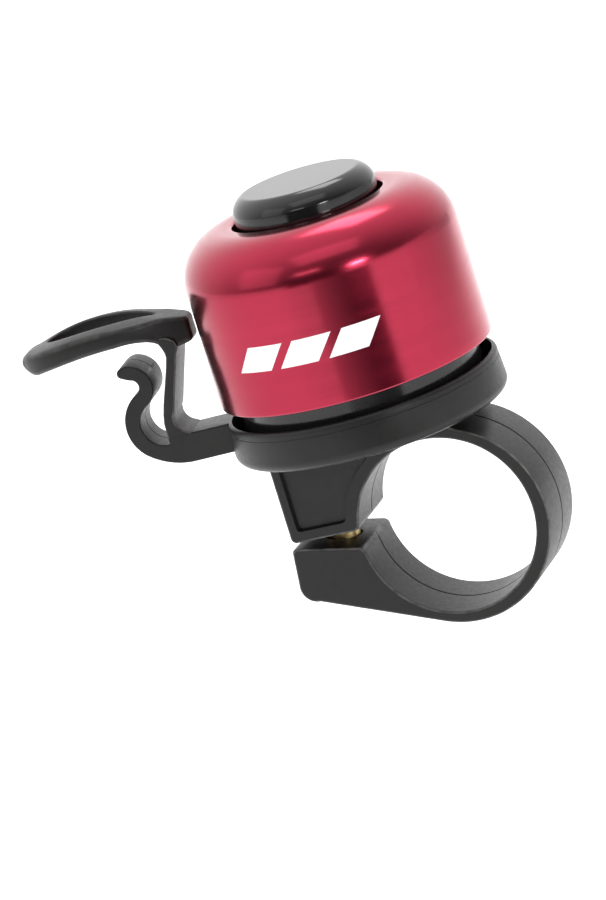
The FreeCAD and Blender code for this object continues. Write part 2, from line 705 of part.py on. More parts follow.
parts = make_parts()
doc.recompute()
for item in doc.Objects:
    if "Invalid" in item.State or "Error" in item.State:
        raise RuntimeError(f"{item.Name} failed: {item.State}")
os.makedirs("parts", exist_ok=True)
for item in parts:
    shape = item.Shape
    if shape.isNull() or not shape.isValid() or len(shape.Solids) != 1:
        raise RuntimeError(f"{item.Label} is not one valid solid")
    shape.exportStep(f"parts/{item.Label}.step")
    box = shape.BoundBox
    print(f"{item.Label}: {shape.Volume:.1f} mm3, x {box.XMin:.2f}..{box.XMax:.2f}, "
          f"y {box.YMin:.2f}..{box.YMax:.2f}, z {box.ZMin:.2f}..{box.ZMax:.2f}")
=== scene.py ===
"""Looks of the bicycle bell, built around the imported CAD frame.

Sizes are in millimetres and become metres when a mesh is made.  Head pieces are drawn in the
head's own frame, with the bell's axis at x = 0 and the thumb lever on the -X side, and turned with it.
The clamp and its screw are drawn in the frame's own axes, where the handlebar lies along Y through 0.
"""

import json
import math

import bmesh
import bpy
from mathutils import Matrix, Vector


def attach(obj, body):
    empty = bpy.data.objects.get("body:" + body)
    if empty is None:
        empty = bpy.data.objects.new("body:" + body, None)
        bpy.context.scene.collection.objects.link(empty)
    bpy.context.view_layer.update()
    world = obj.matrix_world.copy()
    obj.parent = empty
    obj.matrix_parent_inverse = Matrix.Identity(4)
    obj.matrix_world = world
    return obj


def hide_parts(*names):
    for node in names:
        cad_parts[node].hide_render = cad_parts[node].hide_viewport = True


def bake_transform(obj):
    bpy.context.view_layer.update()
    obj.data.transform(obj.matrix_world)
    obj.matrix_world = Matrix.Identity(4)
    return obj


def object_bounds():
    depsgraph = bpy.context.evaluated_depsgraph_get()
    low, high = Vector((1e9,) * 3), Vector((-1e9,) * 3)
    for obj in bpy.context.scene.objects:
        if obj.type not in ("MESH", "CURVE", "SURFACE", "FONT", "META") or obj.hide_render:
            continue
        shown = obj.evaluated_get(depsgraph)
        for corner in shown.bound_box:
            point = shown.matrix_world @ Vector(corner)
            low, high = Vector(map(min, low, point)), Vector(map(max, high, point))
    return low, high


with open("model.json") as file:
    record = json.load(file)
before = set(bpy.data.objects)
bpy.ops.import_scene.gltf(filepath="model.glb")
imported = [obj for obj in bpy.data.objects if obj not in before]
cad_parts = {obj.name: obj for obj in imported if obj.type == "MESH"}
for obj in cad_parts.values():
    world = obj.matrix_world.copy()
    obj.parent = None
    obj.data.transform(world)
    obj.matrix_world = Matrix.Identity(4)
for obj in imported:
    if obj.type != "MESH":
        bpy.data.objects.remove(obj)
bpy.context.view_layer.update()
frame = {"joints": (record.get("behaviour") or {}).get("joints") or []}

# Places that come from the frame
JOINTS = {joint["name"]: joint for joint in frame["joints"]}
BELL_X = JOINTS["head_swivel"]["pos_m"][0] * 1000
SCREW_X = JOINTS["screw_turn"]["pos_m"][0] * 1000
FLEX_AXIS = JOINTS["lever_flex"]["axis"]
HEAD_TURN = math.atan2(-FLEX_AXIS[0], FLEX_AXIS[1])
BELL_AXIS = Matrix.Translation((BELL_X, 0, 0))
SCREW_AXIS = Matrix.Translation((SCREW_X, 0, 0))
HEAD = BELL_AXIS @ Matrix.Rotation(HEAD_TURN, 4, "Z")
UNMOVED = Matrix.Identity(4)

# Dome: a turned shell that leans in slightly from its rim to the start of its round shoulder
DOME_WALL = 1.5
RIM_RADIUS = 17.15
RIM_HEIGHT = 20.44
SHOULDER_RADIUS = 17.05
SHOULDER_HEIGHT = 35.3
SHOULDER_ROUND = 6.1
DOME_TOP = SHOULDER_HEIGHT + SHOULDER_ROUND
WELL_RADIUS = 9.48
WELL_FLOOR = 38.7
WELL_WALL = 1.2

# Cup, its column and the bush on it
CUP_FLOOR = 14.6
COLUMN_RADIUS = 4.4
COLUMN_TOP = 36.9
BUSH_NECK = 3.0

# Lever and clamp
LEVER_HALF = 2.86
BORE_RADIUS = 11.1
BAND_RADIUS = 12.43
CLAMP_HALF = 5.75

# M4 fasteners
SCREW_HOLE = 2.08
SHANK_RADIUS = 2.0
PITCH = 0.7
NUT_HALF = 3.5
NUT_TALL = 3.2
BELL_NUT_LOW = 11.05
PINCH_NUT_LOW = 5.2

# Outlines
MOST_TURN = 0.22  # radians, at most, from one point of an arc to the next
SAME_PLACE = 0.15  # how near a named corner has to lie to a point of the run


# ------------ outlines
def arc(start, end, radius, turn, most=0.25):
    """Points after start up to and with end, on the minor arc, none further apart than most.

    turn says on which side of the way from start to end the arc's centre lies: 1 left, -1 right."""
    start, end = Vector(start), Vector(end)
    chord = end - start
    left = Vector((-chord.y, chord.x)).normalized()
    centre = (start + end) / 2 + left * turn * math.sqrt(radius ** 2 - (chord.length / 2) ** 2)
    first = math.atan2(start.y - centre.y, start.x - centre.x)
    sweep = turn * ((turn * (math.atan2(end.y - centre.y, end.x - centre.x) - first)) % math.tau)
    steps = max(3, math.ceil(abs(sweep) / MOST_TURN), math.ceil(abs(sweep) * radius / most))
    angles = [first + sweep * k / steps for k in range(1, steps + 1)]
    return [centre + radius * Vector((math.cos(angle), math.sin(angle))) for angle in angles]


def held(value):
    """A value held between 0 and 1."""
    return min(1.0, max(0.0, value))


def vectors(*places):
    """Points from (x, y) pairs."""
    return [Vector(place) for place in places]


def outline(path, most=0.25):
    """Closed run of points.  Each entry is (x, y), then optionally (radius, turn) of the arc to the next."""
    points = []
    for index, entry in enumerate(path):
        start, end = Vector(entry[:2]), Vector(path[(index + 1) % len(path)][:2])
        if len(entry) == 4:
            points += arc(start, end, entry[2], entry[3], most)
        else:
            points.append(end)
    return points


def bend_at(points, index):
    """Angle that the run turns by at one of its points."""
    before, here, after = points[index - 1], points[index], points[(index + 1) % len(points)]
    return (here - before).angle(after - here, 0)


def walk(points, index, distance, step):
    """The point that lies a distance along a closed run from one of its points, and the last index passed."""
    here = points[index]
    while True:
        after = points[(index + step) % len(points)]
        gap = (after - here).length
        if gap >= distance:
            return here.lerp(after, distance / gap), index
        distance -= gap
        here, index = after, index + step


def soften(points, reach, special=(), steps=5, least=18):
    """Round the corners of a closed run, those that bend by more than least degrees.

    reach is how far a rounding goes from its corner.  special holds (x, y, reach) for corners with
    another reach; 0 keeps a corner sharp.  Returns the points and a wear weight for each, which is 1 in
    the middle of a rounded corner."""
    count = len(points)
    corners = [i for i in range(count) if bend_at(points, i) > math.radians(least)]
    dropped, rounds = set(), {}
    for i in corners:
        size = reach
        for x, y, other in special:
            if (points[i] - Vector((x, y))).length < SAME_PLACE:
                size = other
        if size <= 0:
            continue
        start, low = walk(points, i, size, -1)
        end, high = walk(points, i, size, 1)
        dropped.update(k % count for k in range(low, high + 1))
        rounds[i] = (start, points[i], end)
    out, wear = [], []
    for i in range(count):
        if i in rounds:
            a, b, c = rounds[i]
            for k in range(steps + 1):
                t = k / steps
                out.append(a * (1 - t) ** 2 + b * 2 * t * (1 - t) + c * t * t)
                wear.append(math.sin(math.pi * t))
        elif i not in dropped:
            out.append(points[i])
            wear.append(0.0)
    return out, wear


def inward(points):
    """Miter at each point of a closed counterclockwise run: the move inwards for an inset of 1."""
    out = []
    for i, here in enumerate(points):
        before = (here - points[i - 1]).normalized()
        after = (points[(i + 1) % len(points)] - here).normalized()
        first, second = Vector((-before.y, before.x)), Vector((-after.y, after.x))
        out.append((first + second) / max(0.4, 1 + first.dot(second)))
    return out


# ------------ meshes
def make(name, points, faces, place=UNMOVED, wear=None, sharp=32):
    """A mesh object from points in millimetres, with each point's wear and edges sharp past an angle."""
    mesh = bpy.data.meshes.new(name)
    mesh.from_pydata([place @ Vector(p) * 0.001 for p in points], [], faces)
    mesh.update()
    made = bmesh.new()
    made.from_mesh(mesh)
    bmesh.ops.recalc_face_normals(made, faces=made.faces)
    made.to_mesh(mesh)
    made.free()
    piece = bpy.data.objects.new(name, mesh)
    bpy.context.scene.collection.objects.link(piece)
    weights = mesh.attributes.new("wear", "FLOAT", "POINT")
    weights.data.foreach_set("value", wear or [0.0] * len(points))
    smooth(piece, sharp)
    return piece


def smooth(piece, sharp=32):
    """Smooth shading, with edges kept sharp where the faces turn by more than sharp degrees."""
    piece.data.polygons.foreach_set("use_smooth", [True] * len(piece.data.polygons))
    piece.data.set_sharp_from_angle(angle=math.radians(sharp))


def dress(piece, material, body, slot, *nodes):
    """Give a piece its material and body, and hide the CAD nodes that it stands for; slot is not used."""
    piece.data.materials.clear()
    piece.data.materials.append(material)
    if body:
        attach(piece, body)
    if nodes:
        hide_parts(*nodes)
    return piece


def lathe(name, profile, wear=None, steps=224, place=HEAD, sharp=32):
    """Closed profile of (radius, height) turned about the place's Z axis; radius 0 closes it on the axis."""
    points, faces, weights, rings = [], [], [], []
    wear = wear or [0.0] * len(profile)
    for (radius, height), weight in zip(profile, wear):
        if radius < 1e-6:
            rings.append([len(points)] * steps)
            points.append((0, 0, height))
            weights.append(weight)
            continue
        rings.append(list(range(len(points), len(points) + steps)))
        for k in range(steps):
            angle = math.tau * k / steps
            points.append((radius * math.cos(angle), radius * math.sin(angle), height))
            weights.append(weight)
    for index, ring in enumerate(rings):
        other = rings[(index + 1) % len(rings)]
        for k in range(steps):
            face = [ring[k], ring[(k + 1) % steps], other[(k + 1) % steps], other[k]]
            face = list(dict.fromkeys(face))
            if len(face) > 2:
                faces.append(face)
    return make(name, points, faces, place, weights, sharp)


def edge_slices(half, radius, steps=5):
    """(position, inset, wear) of the rounded edges of a slab that is 2*half wide.

    The first and last slice lie in the flat sides, just inside the rounding, so that it shades alone."""
    apart = 0.07
    out = [(half, radius + apart, 0.0)]
    for k in range(steps + 1):
        angle = math.pi / 2 * k / steps
        out.append((half - radius * (1 - math.cos(angle)), radius * (1 - math.sin(angle)),
                    math.sin(2 * angle)))
    near_side = [(-y, inset, wear) for y, inset, wear in out]
    return near_side + out[::-1]


def slab(name, points, slices, wear=None, where=None, place=UNMOVED, sharp=32):
    """Outline in the XZ plane swept across Y.

    Slices are (y, inset, wear) or, in a groove, (y, inset, wear, True); where(point) scales a groove's
    inset round the outline."""
    miters = inward(points)
    wear = wear or [0.0] * len(points)
    verts, weights, count = [], [], len(points)
    deepest = max(inset for y, inset, *other in slices)  # the flat of each side, which nothing rubs
    for y, inset, edge_mark, *grooved in slices:
        for point, miter, own in zip(points, miters, wear):
            deep = inset * where(point) if grooved else inset
            moved = point + miter * deep
            verts.append((moved.x, y, moved.y))
            weights.append(0.0 if inset == deepest else min(1.0, max(own, edge_mark)))
    faces = [list(range(count))]
    for s in range(len(slices) - 1):
        for i in range(count):
            j = (i + 1) % count
            faces.append([s * count + i, s * count + j, (s + 1) * count + j, (s + 1) * count + i])
    faces.append(list(range((len(slices) - 1) * count, len(slices) * count)))
    return make(name, verts, faces, place, weights, sharp)


def with_groove(slices, at, half, depth):
    """Add a fine groove round a slab, centred at y = at, to the middle of its slices."""
    bottom = 0.35 * half
    cut = [(at - half, 0, 0, True), (at - bottom, depth, 0, True),
           (at + bottom, depth, 0, True), (at + half, 0, 0, True)]
    middle = len(slices) // 2
    return slices[:middle] + cut + slices[middle:]


def combine(piece, tool, operation, sharp=32):
    """Boolean of two pieces, kept as the first one's final mesh."""
    step = piece.modifiers.new(operation, "BOOLEAN")
    step.operation = operation
    step.solver = "EXACT"
    step.object = tool
    bpy.context.view_layer.update()
    done = bpy.data.meshes.new_from_object(piece.evaluated_get(bpy.context.evaluated_depsgraph_get()))
    piece.modifiers.clear()
    piece.data = done
    bpy.data.objects.remove(tool)
    smooth(piece, sharp)
    return piece


def prism(points, low, high, axis="Z", taper=1.0, centre=(0, 0)):
    """Straight prism along an axis, or one that tapers towards a centre, used as a cutting tool."""
    centre = Vector(centre)
    small = [centre + (p - centre) * taper for p in points]
    verts = []
    for run, at in ((points, low), (small, high)):
        verts += [(p.x, p.y, at) if axis == "Z" else (p.x, at, p.y) for p in run]
    count = len(points)
    faces = [list(range(count)), list(range(count, 2 * count))]
    faces += [[i, (i + 1) % count, count + (i + 1) % count, count + i] for i in range(count)]
    return make("tool", verts, faces)


def ring_of(radius, x=0.0, steps=64, phase=0.0):
    """Evenly spaced points on a circle about (x, 0)."""
    angles = [phase + math.tau * k / steps for k in range(steps)]
    return [Vector((x + radius * math.cos(angle), radius * math.sin(angle))) for angle in angles]


# ------------ materials
class Nodes:
    """Short way to write a material's node tree."""

    def __init__(self, name):
        self.material = bpy.data.materials.new(name)
        self.material.use_nodes = True
        self.tree = self.material.node_tree
        self.shader = next(n for n in self.tree.nodes if n.type == "BSDF_PRINCIPLED")
        self.place = self.add("ShaderNodeTexCoord").outputs["Object"]

    def add(self, kind, **values):
        """A new node with some of its settings."""
        node = self.tree.nodes.new(kind)
        for key, value in values.items():
            setattr(node, key, value)
        return node

    def put(self, socket, value):
        """Link an output to a socket, or write a constant on it."""
        if isinstance(value, bpy.types.NodeSocket):
            self.tree.links.new(value, socket)
        else:
            socket.default_value = value

    def math(self, operation, a, b=0.0, c=0.0):
        """One step of arithmetic."""
        node = self.add("ShaderNodeMath", operation=operation)
        for socket, value in zip(node.inputs, (a, b, c)):
            self.put(socket, value)
        return node.outputs[0]

    def noise(self, scale, detail=4.0, rough=0.55, vector=None):
        """Noise over the piece, or over another vector."""
        node = self.add("ShaderNodeTexNoise")
        self.put(node.inputs["Vector"], vector or self.place)
        for key, value in (("Scale", scale), ("Detail", detail), ("Roughness", rough)):
            node.inputs[key].default_value = value
        return node.outputs["Fac"]

    def spread(self, value, low, high, to_low, to_high):
        """A value carried from one range to another, and held at its ends."""
        node = self.add("ShaderNodeMapRange")
        keys = ("Value", "From Min", "From Max", "To Min", "To Max")
        for key, item in zip(keys, (value, low, high, to_low, to_high)):
            self.put(node.inputs[key], item)
        return node.outputs["Result"]

    def stretch(self, noise, to_low=0.0, to_high=1.0):
        """A noise, most of which lies between 0.3 and 0.7, carried to a range."""
        return self.spread(noise, 0.3, 0.7, to_low, to_high)

    def mix(self, factor, a, b):
        """Blend of two colours."""
        node = self.add("ShaderNodeMix", data_type="RGBA")
        self.put(node.inputs[0], factor)
        self.put(node.inputs[6], a)
        self.put(node.inputs[7], b)
        return node.outputs[2]

    def bump(self, height, strength, distance, under=None):
        """Normal that follows a height, over another normal if one is given."""
        node = self.add("ShaderNodeBump")
        node.inputs["Strength"].default_value = strength
        node.inputs["Distance"].default_value = distance
        self.put(node.inputs["Height"], height)
        if under:
            self.put(node.inputs["Normal"], under)
        return node.outputs["Normal"]

    def wear(self):
        """How near a place is to the middle of a rounded corner, from the weights that each mesh holds: worn
        edges, and on satin plastic also a painted highlight.
        """
        node = self.add("ShaderNodeAttribute")
        node.attribute_name = "wear"
        return node.outputs["Fac"]

    def set(self, **values):
        """Fill the shader's sockets, named with _ for a space, and return the material."""
        for key, value in values.items():
            self.put(self.shader.inputs[key.replace("_", " ")], value)
        return self.material

    def about_bell(self):
        """(radius, height) in metres about the bell's axis, as two outputs."""
        split = self.add("ShaderNodeSeparateXYZ")
        self.put(split.inputs[0], self.place)
        x = self.math("SUBTRACT", split.outputs["X"], BELL_X * 0.001)
        y = split.outputs["Y"]
        square = self.math("MULTIPLY_ADD", x, x, self.math("MULTIPLY", y, y))
        return self.math("SQRT", square), split.outputs["Z"]

    def rings(self, scale):
        """Noise that is even round the bell's axis, as fine turning marks are."""
        radius, height = self.about_bell()
        join = self.add("ShaderNodeCombineXYZ")
        self.put(join.inputs["X"], radius)
        self.put(join.inputs["Y"], height)
        return self.noise(scale, 3.0, 0.6, join.outputs[0])


def anodised():
    """Clear red anodising over turned metal: fine turning lines, a faint cloud and paler edges."""
    red, bright_red = (0.315, 0.018, 0.043, 1), (0.355, 0.023, 0.051, 1)
    deep_red, pale_edge_tone = (0.26, 0.011, 0.032, 1), (0.70, 0.25, 0.32, 1)
    look = Nodes("anodised_dome")
    lines = look.rings(1500.0)
    broad = look.rings(420.0)
    cloud = look.noise(60.0, 3.0)
    tone = look.mix(look.stretch(cloud), red, bright_red)
    tone = look.mix(look.stretch(lines, 0.0, 0.12), tone, deep_red)
    tone = look.mix(look.math("MULTIPLY", look.wear(), 0.15), tone, pale_edge_tone)
    rough = look.math("ADD", look.spread(lines, 0.25, 0.75, 0.19, 0.24), look.stretch(broad, -0.02, 0.03))
    normal = look.bump(lines, 0.02, 0.00003, look.bump(cloud, 0.03, 0.0003))
    return look.set(Base_Color=tone, Metallic=1.0, Roughness=rough, Normal=normal, IOR=1.5,
                    Coat_Weight=0.25, Coat_Roughness=0.12, Coat_IOR=1.45)


def plastic(name, base, low, high, grain, grain_scale, edge_wear_and_highlight, shine):
    """Moulded plastic with a fine texture, patchy gloss and paler, glossier edges: worn edges, partly painted
    highlight.

    low and high are its range of roughness, grain the texture's strength, edge_wear_and_highlight how pale
    the edges are painted, for wear and for a painted highlight, and shine its specular level."""
    pale_edge_tone = (0.22, 0.215, 0.21, 1)
    look = Nodes(name)
    fine = look.noise(grain_scale, 5.0, 0.6)
    patch = look.noise(180.0, 4.0)
    flow = look.noise(45.0, 2.0)
    pale = tuple(c * 1.6 + 0.004 for c in base) + (1,)
    tone = look.mix(look.stretch(patch, 0.0, 0.5), base + (1,), pale)
    edge_mark = look.math("MULTIPLY", look.wear(), look.spread(look.noise(700.0, 3.0), 0.35, 0.65, 0.25, 1.0))
    # Pale tone along the rounded edges, broken into dashes: partly wear, partly a painted highlight.
    tone = look.mix(look.math("MULTIPLY", edge_mark, edge_wear_and_highlight), tone, pale_edge_tone)
    rough = look.math("ADD", look.stretch(fine, low, high), look.stretch(flow, -0.03, 0.04))
    rough = look.math("MULTIPLY", rough, look.spread(edge_mark, 0.0, 1.0, 1.0, 0.55))
    normal = look.bump(flow, 0.04, 0.0004, look.bump(fine, grain, 0.00006))
    return look.set(Base_Color=tone, Roughness=rough, Normal=normal, IOR=1.5, Specular_IOR_Level=shine)


def rubber():
    """Dull dark rubber."""
    look = Nodes("bush_rubber")
    fine = look.noise(1500.0, 4.0)
    tone = look.mix(look.stretch(fine), (0.022, 0.022, 0.022, 1), (0.045, 0.044, 0.043, 1))
    return look.set(Base_Color=tone, Roughness=look.stretch(fine, 0.65, 0.85),
                    Normal=look.bump(fine, 0.3, 0.00008))


def plated(name, bright, dull):
    """Zinc plated steel: cloudy plating, a fine grain and paler edges."""
    pale_edge_tone = (0.85, 0.84, 0.80, 1)
    look = Nodes(name)
    cloud = look.noise(350.0, 4.0)
    fine = look.noise(2200.0, 3.0)
    tone = look.mix(look.stretch(cloud), dull + (1,), bright + (1,))
    tone = look.mix(look.math("MULTIPLY", look.wear(), 0.5), tone, pale_edge_tone)
    return look.set(Base_Color=tone, Metallic=1.0, Roughness=look.stretch(fine, 0.24, 0.42),
                    Normal=look.bump(fine, 0.12, 0.00005))


def ink():
    """White printing ink, slightly uneven."""
    look = Nodes("white_print")
    fine = look.noise(1800.0, 3.0)
    tone = look.mix(look.stretch(fine), (0.80, 0.79, 0.79, 1), (0.88, 0.88, 0.88, 1))
    return look.set(Base_Color=tone, Roughness=look.stretch(fine, 0.32, 0.45),
                    Normal=look.bump(fine, 0.08, 0.00003))


DOME_RED = anodised()
GLOSS = plastic("gloss_black_plastic", (0.010, 0.010, 0.011), 0.13, 0.20, 0.03, 1500.0, 0.10, 0.42)
CAP_BLACK = plastic("cap_black_plastic", (0.0045, 0.0047, 0.005), 0.10, 0.14, 0.03, 2600.0, 0.10, 0.50)
# Satin plastic's strong pale edges (0.55) are partly wear and partly a painted highlight.
SATIN = plastic("satin_black_plastic", (0.0062, 0.0060, 0.0058), 0.33, 0.45, 0.16, 1900.0, 0.55, 0.30)
RUBBER = rubber()
ZINC = plated("zinc_steel", (0.68, 0.69, 0.70), (0.50, 0.51, 0.53))
YELLOW_ZINC = plated("yellow_zinc_steel", (0.56, 0.41, 0.18), (0.40, 0.30, 0.15))
PRINT = ink()


# ------------ dome, cap and cup
def finer(points, wear, gap):
    """Put extra points on the long straight stretches of a closed run, at least a gap apart."""
    more, edge_mark = [], []
    for index, (point, weight) in enumerate(zip(points, wear)):
        after = points[(index + 1) % len(points)]
        parts = max(1, int((after - point).length / gap))
        more += [point.lerp(after, k / parts) for k in range(parts)]
        edge_mark += [weight] + [0.0] * (parts - 1)
    return more, edge_mark


def build_dome():
    """Turned shell, open below, with the sunk well in its top that takes the cap."""
    crown_radius = SHOULDER_RADIUS - SHOULDER_ROUND
    profile = outline([
        (RIM_RADIUS, RIM_HEIGHT),
        (SHOULDER_RADIUS, SHOULDER_HEIGHT, SHOULDER_ROUND, 1),
        (crown_radius, DOME_TOP),
        (WELL_RADIUS, DOME_TOP),
        (WELL_RADIUS, WELL_FLOOR),
        (BUSH_NECK, WELL_FLOOR),
        (BUSH_NECK, WELL_FLOOR - WELL_WALL),
        (WELL_RADIUS + WELL_WALL, WELL_FLOOR - WELL_WALL),
        (WELL_RADIUS + WELL_WALL, DOME_TOP - DOME_WALL),
        (crown_radius, DOME_TOP - DOME_WALL, SHOULDER_ROUND - DOME_WALL, -1),
        (SHOULDER_RADIUS - DOME_WALL, SHOULDER_HEIGHT),
        (RIM_RADIUS - DOME_WALL, RIM_HEIGHT),
    ], 0.18)
    profile, wear = soften(profile, 0.3, [
        (RIM_RADIUS, RIM_HEIGHT, 0.26),
        (RIM_RADIUS - DOME_WALL, RIM_HEIGHT, 0.4),
        (WELL_RADIUS, DOME_TOP, 0.42),
    ])
    profile, wear = finer(profile, wear, 1.0)
    dress(lathe("dome_shell", profile, wear, steps=288), DOME_RED, "head", "anodised_dome", "dome")


def build_print():
    """A plain mark of three slanted white bars, a generic stand-in for the print on the dome."""
    starts = (-121.0, -100.0, -79.0)  # degrees round the bell from the frame's +X axis
    wide, slant = 16.5, 8.0  # degrees that a bar covers, and that its top is moved by
    low, high = 26.2, 29.3
    lift, thick = 0.004, 0.02
    columns, rows = 20, 8
    taper = (RIM_RADIUS - SHOULDER_RADIUS) / (SHOULDER_HEIGHT - RIM_HEIGHT)
    across = columns + 1
    layer_count = across * (rows + 1)
    rim = list(range(columns)) + [columns + r * across for r in range(rows)]
    rim += [rows * across + k for k in range(columns, 0, -1)]
    rim += [r * across for r in range(rows, 0, -1)]
    verts, faces = [], []
    for start in starts:
        base = len(verts)
        for layer in (0, 1):
            for r in range(rows + 1):
                z = low + (high - low) * r / rows
                radius = RIM_RADIUS - taper * (z - RIM_HEIGHT) + lift + thick * layer
                for k in range(across):
                    angle = math.radians(start + wide * k / columns + slant * r / rows) - HEAD_TURN
                    verts.append((radius * math.cos(angle), radius * math.sin(angle), z))
        for r in range(rows):
            for k in range(columns):
                a = base + r * across + k
                b = a + layer_count
                faces.append([a, a + 1, a + across + 1, a + across])
                faces.append([b, b + across, b + across + 1, b + 1])
        for a, b in zip(rim, rim[1:] + rim[:1]):
            faces.append([base + a, base + a + layer_count, base + b + layer_count, base + b])
    dress(make("dome_mark", verts, faces, HEAD), PRINT, "head", "anodised_dome")


def build_cap():
    """Gloss button in the well, hollow below, with a snap ring inside its outer wall."""
    top, inside, foot = 44.66, 43.36, 38.8
    snap_in, snap_out = 6.05, 6.95
    wall_in, wall_out = 7.3, 8.85
    crown_radius = 7.34
    crown = Vector((0.0, top))
    profile = outline([
        (0.0, inside),
        (snap_in, inside),
        (snap_in, foot),
        (snap_out, foot),
        (snap_out, inside),
        (wall_in, inside),
        (wall_in, foot),
        (wall_out, foot),
        (8.95, 42.7, 2.6, 1),
        (crown_radius, top),
        (0.0, top),
    ], 0.15)
    profile, wear = soften(profile, 0.12, [
        (0.0, top, 0),
        (0.0, inside, 0),
        (crown_radius, top, 0.22),
        (wall_out, foot, 0.3),
    ])
    run, edge_mark = [], []
    for point, weight in zip(profile, wear):
        if (point - crown).length < 1e-6:  # rings across the flat crown, before its middle
            crown_rings = (6.9, 6.0, 4.5, 3.0, 1.5)
            run += [Vector((radius, top)) for radius in crown_rings]
            edge_mark += [0.0] * len(crown_rings)
        run.append(point)
        edge_mark.append(weight)
    cap = lathe("cap_button", run, edge_mark, steps=224, sharp=24)
    dress(cap, CAP_BLACK, "head", "gloss_black_plastic", "top_cap")


def build_cup():
    """Gloss cup that shows as the dark band under the dome's rim, with the column that carries the dome."""
    floor_top, rim = 16.1, 22.6
    outside, inside = 15.1, 13.8
    profile = outline([
        (SCREW_HOLE, CUP_FLOOR),
        (outside, CUP_FLOOR),
        (outside, rim),
        (inside, rim),
        (inside, floor_top),
        (COLUMN_RADIUS, floor_top),
        (COLUMN_RADIUS, COLUMN_TOP),
        (SCREW_HOLE, COLUMN_TOP),
    ])
    profile, wear = soften(profile, 0.3, [
        (outside, rim, 0.45),
        (COLUMN_RADIUS, floor_top, 0.8),
        (inside, floor_top, 0.8),
    ])
    dress(lathe("cup_body", profile, wear), GLOSS, "head", "gloss_black_plastic", "base_cup")


# ------------ lever ring, arm and hook
def skirt():
    """Shallow ring that the cup stands in, with a fine parting line round its outer wall."""
    hole, bottom, bottom_edge = 5.95, 13.1, 16.0
    lip, lip_height, inner_wall = 16.5, 18.3, 16.4
    wall_foot, wall_top = (17.28, 14.4), (17.05, 17.75)
    profile = outline([
        (hole, bottom),
        (bottom_edge, bottom, 1.3, 1),
        wall_foot,
        (*wall_top, 0.56, 1),
        (lip, lip_height),
        (inner_wall, CUP_FLOOR),
        (hole, CUP_FLOOR),
    ], 0.12)
    profile, wear = soften(profile, 0.2, [
        (bottom_edge, bottom, 0.25),
        (lip, lip_height, 0.12),
        (inner_wall, CUP_FLOOR, 0.4),
    ])
    run, edge_mark = [], []
    line = ((17.20, 0.0), (17.24, 0.05), (17.30, 0.05), (17.34, 0.0))  # height and depth across the line
    for point, weight in zip(profile, wear):
        run.append(point)
        edge_mark.append(weight)
        if (point - Vector(wall_foot)).length < 1e-3:
            for z, deep in line:
                share = (z - wall_foot[1]) / (wall_top[1] - wall_foot[1])
                wall = wall_foot[0] + (wall_top[0] - wall_foot[0]) * share
                run.append(Vector((wall - deep, z)))
                edge_mark.append(0.0)
    return lathe("lever_bracket", run, edge_mark, steps=256)


def arm_and_hook():
    """The arm that leaves the skirt, with the leaf's step on it and the hook-shaped stop at its end."""
    root, back = -16.75, -24.75  # where the arm starts inside the skirt, and the leaf's back
    low, high, step = 14.3, 17.95, 17.15
    hook_foot = -25.15
    run = outline([
        (root, low),
        (root, high),
        (-22.0, high),
        (back, high),
        (back, step),
        (hook_foot, step, 2.85, -1),
        (-26.07, 22.5, 2.93, 1),
        (-27.6, 27.98),
        (-28.2, 27.7, 0.62, 1),
        (-28.15, 26.55),
        (-27.3, 26.1, 0.97, -1),
        (-27.0, 24.21, 4.8, 1),
        (-27.9, 16.35, 9.0, 1),
        (-22.0, low),
    ], 0.2)
    sharp_corners = [(root, low, 0), (root, high, 0), (back, high, 0), (back, step, 0), (hook_foot, step, 0)]
    run, wear = soften(run, 0.42, sharp_corners)
    slices = with_groove(edge_slices(LEVER_HALF, 0.18), at=0.25, half=0.09, depth=0.05)
    return slab("arm", run, slices, wear, lambda point: 1.0 if point.x < -24.9 else 0.0, HEAD)


def build_lever_ring():
    """Skirt, arm and hook as the one moulding that they are."""
    bracket = combine(skirt(), arm_and_hook(), "UNION")
    dress(bracket, SATIN, "head", "satin_black_plastic", "lever_ring")


# ------------ leaf and thumb lever
def build_leaf():
    """Thin spring that stands on the arm and widens into the thumb lever."""
    heel, back_of_heel = (-22.35, 18.3), (-23.35, 19.75)
    front = vectors((-21.2, 17.0), (-21.45, 17.55), (-21.75, 17.98), heel)
    front += arc(heel, back_of_heel, 1.75, -1)
    front += vectors((-23.30, 20.4), (-22.99, 20.95), (-22.62, 22.0), (-21.28, 25.8), (-20.85, 27.0),
                     (-20.55, 27.9), (-20.25, 28.4), (-20.1, 28.9), (-20.3, 29.6), (-21.2, 30.2))
    back = vectors((-22.35, 30.35), (-22.5, 29.85), (-22.15, 29.1), (-21.95, 28.45), (-21.93, 27.8),
                   (-22.35, 26.5), (-24.06, 22.1), (-24.45, 20.9), (-24.7, 19.8), (-24.74, 19.0),
                   (-24.74, 17.0))
    points = front + back
    run, wear = finer(points, [0.0] * len(points), 0.4)
    narrower = 0.015  # keeps the leaf's sides inside the arm's, as faces that coincide render dark
    piece = slab("spring_leaf", run, edge_slices(LEVER_HALF - narrower, 0.2), wear, place=HEAD, sharp=50)
    dress(piece, SATIN, None, "satin_black_plastic", "lever_leaf")
    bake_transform(piece)


def along(points, count):
    """Evenly spaced points on an open run."""
    lengths = [0.0]
    for a, b in zip(points, points[1:]):
        lengths.append(lengths[-1] + (b - a).length)
    out, at = [], 0
    for k in range(count):
        target = lengths[-1] * k / (count - 1)
        while at < len(points) - 2 and lengths[at + 1] < target:
            at += 1
        gap = lengths[at + 1] - lengths[at]
        out.append(points[at].lerp(points[at + 1], (target - lengths[at]) / gap if gap else 0))
    return out


